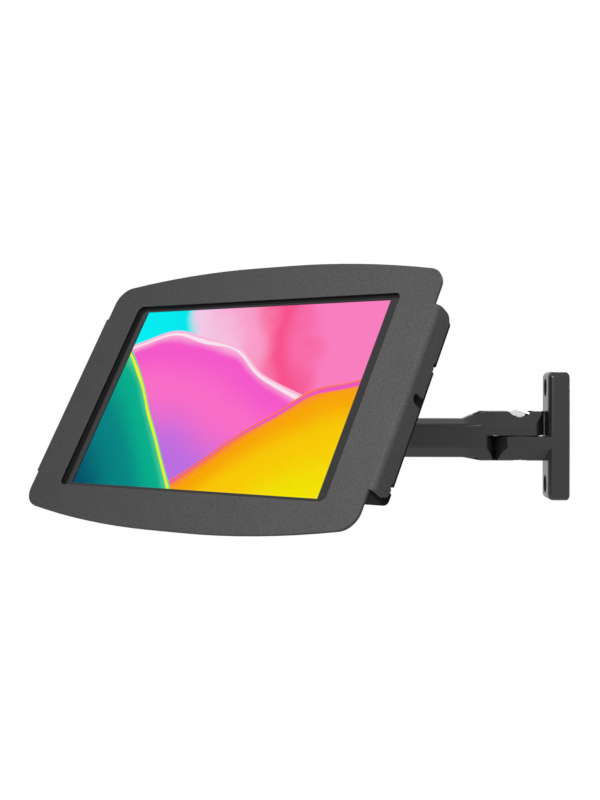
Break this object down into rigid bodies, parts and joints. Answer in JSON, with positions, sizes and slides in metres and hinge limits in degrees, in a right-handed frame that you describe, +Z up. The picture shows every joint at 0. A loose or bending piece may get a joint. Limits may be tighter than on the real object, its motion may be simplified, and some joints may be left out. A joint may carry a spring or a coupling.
{
  "type": "tablet wall mount",
  "caption": "Lockable tablet enclosure on a short cast swing arm that is pinned to a small wall plate; it swings, swivels, tilts and turns.",
  "frame": {"origin": "centre of the wall plate's back face, where it meets the wall", "axes": "+Z up, +Y out of the plate's back face into the wall, the room towards -Y; +X along the wall, the side to which the screen faces at rest"},
  "size_m": [0.2509, 0.3719, 0.1704],
  "materials": {
    "cast_black": "semi-gloss black paint on a casting",
    "powder_coat": "matt fine-textured dark grey powder coat on sheet metal",
    "black_coat": "matt black powder coat on sheet metal",
    "polished_steel": "polished",
    "bright_steel": "zinc plated",
    "black_steel": "black oxide",
    "bronze": "sintered, plain",
    "nylon": "black nylon",
    "foam": "black closed-cell foam",
    "tablet_shell": "anodised",
    "cover_glass": "polished, black border behind it",
    "screen": "lit display with a flowing abstract picture"
  },
  "bodies": {
    "wall": {"wall_plate": "cast_black", "wall_pivot_bolt": "polished_steel", "wall_pivot_washers": "bright_steel", "wall_pivot_nut": "bright_steel", "wall_lap_washer": "nylon"},
    "link": {"arm_link": "cast_black", "pivot_bushes": "bronze"},
    "swivel": {"swivel_head": "cast_black", "elbow_pivot_bolt": "polished_steel", "elbow_pivot_washers": "bright_steel", "elbow_pivot_nut": "bright_steel", "elbow_lap_washer": "nylon", "tilt_bolt": "black_steel", "tilt_washers": "nylon", "tilt_disc_spring": "bright_steel", "tilt_nut": "bright_steel"},
    "tilt": {"tilt_head": "cast_black", "tilt_bush": "bronze", "turn_bolt": "bright_steel", "turn_washers": "nylon"},
    "enclosure": {"turn_plate": "powder_coat", "plate_screws": "black_steel", "clinch_nuts": "bright_steel", "back_pan": "black_coat", "front_cover": "powder_coat", "cover_catch": "bright_steel", "window_gasket": "foam", "tablet_housing": "tablet_shell", "tablet_glass": "cover_glass", "display_panel": "screen", "rest_pads": "foam", "side_spacers": "foam", "lock_barrel": "polished_steel", "lock_nut": "bright_steel"},
    "lock": {"lock_plug": "polished_steel", "lock_cam": "bright_steel", "cam_screw": "bright_steel"}
  },
  "joints": [
    {"name": "wall_swing", "type": "hinge", "parent": "wall", "child": "link", "pos_m": [0, -0.0336, 0], "axis": [0, 0, 1], "range_deg": [-90, 90]},
    {"name": "elbow_swivel", "type": "hinge", "parent": "link", "child": "swivel", "pos_m": [0, -0.1736, 0], "axis": [0, 0, 1], "range_deg": [-141, 39]},
    {"name": "head_tilt", "type": "hinge", "parent": "swivel", "child": "tilt", "pos_m": [0.0373, -0.20381, 0], "axis": [-0.6293, -0.7771, 0], "range_deg": [-45.9, 29.1]},
    {"name": "face_turn", "type": "hinge", "parent": "tilt", "child": "enclosure", "pos_m": [0.0373, -0.20381, 0], "axis": [0.6668, -0.54, 0.5135], "range_deg": [-90, 90]},
    {"name": "lock_turn", "type": "hinge", "parent": "enclosure", "child": "lock", "pos_m": [0.17394, -0.14435, -0.00371], "axis": [0.6668, -0.54, 0.5135], "range_deg": [0, 90]}
  ]
}
